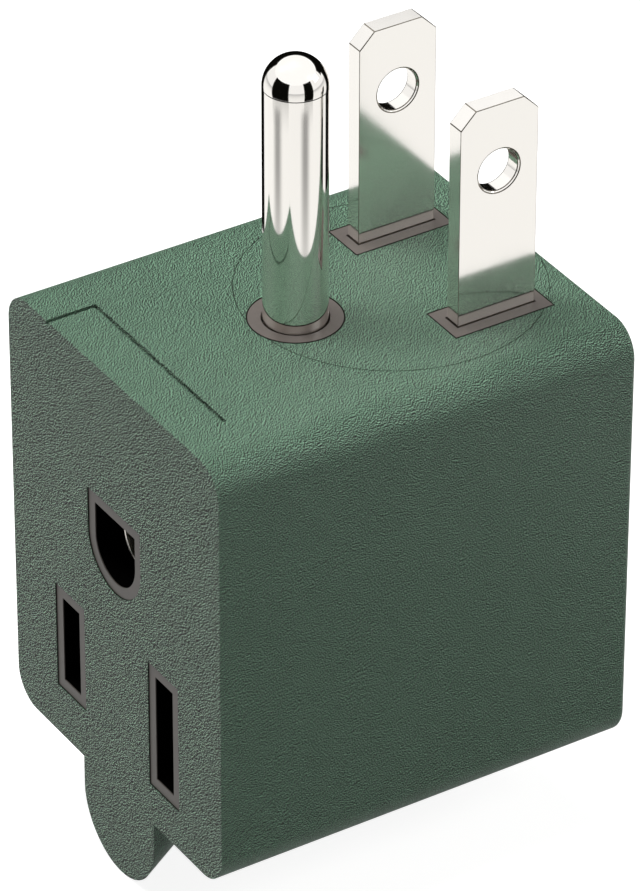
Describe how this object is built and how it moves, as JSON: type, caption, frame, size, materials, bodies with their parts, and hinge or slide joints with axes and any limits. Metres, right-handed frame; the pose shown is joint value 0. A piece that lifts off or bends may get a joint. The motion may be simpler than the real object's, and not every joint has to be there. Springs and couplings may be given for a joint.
{
  "type": "right angle plug adapter",
  "caption": "Right angle grounded plug adapter: moulded block with two flat blades and a round pin on top, an outlet on the side and a guard tongue below it.",
  "frame": {"origin": "on the plug face, midway between the two flat blades", "axes": "+Z along the prongs, out of the plug face; -Y out of the outlet face; +X towards the wide (neutral) opening"},
  "size_m": [0.028, 0.0338, 0.0628],
  "materials": {
    "jacket": "fine leather grain, matt",
    "insulator": "smooth, matt",
    "prongs": "polished nickel plate",
    "contacts": "bare rolled brass"
  },
  "bodies": {
    "root": {"outer_jacket": "jacket", "contact_carrier": "insulator", "carrier_cover": "insulator", "prong_bridge": "insulator", "line_blade": "prongs", "neutral_blade": "prongs", "ground_pin": "prongs", "line_contact": "contacts", "neutral_contact": "contacts", "ground_contact": "contacts", "line_rivet": "contacts", "neutral_rivet": "contacts"}
  },
  "joints": []
}
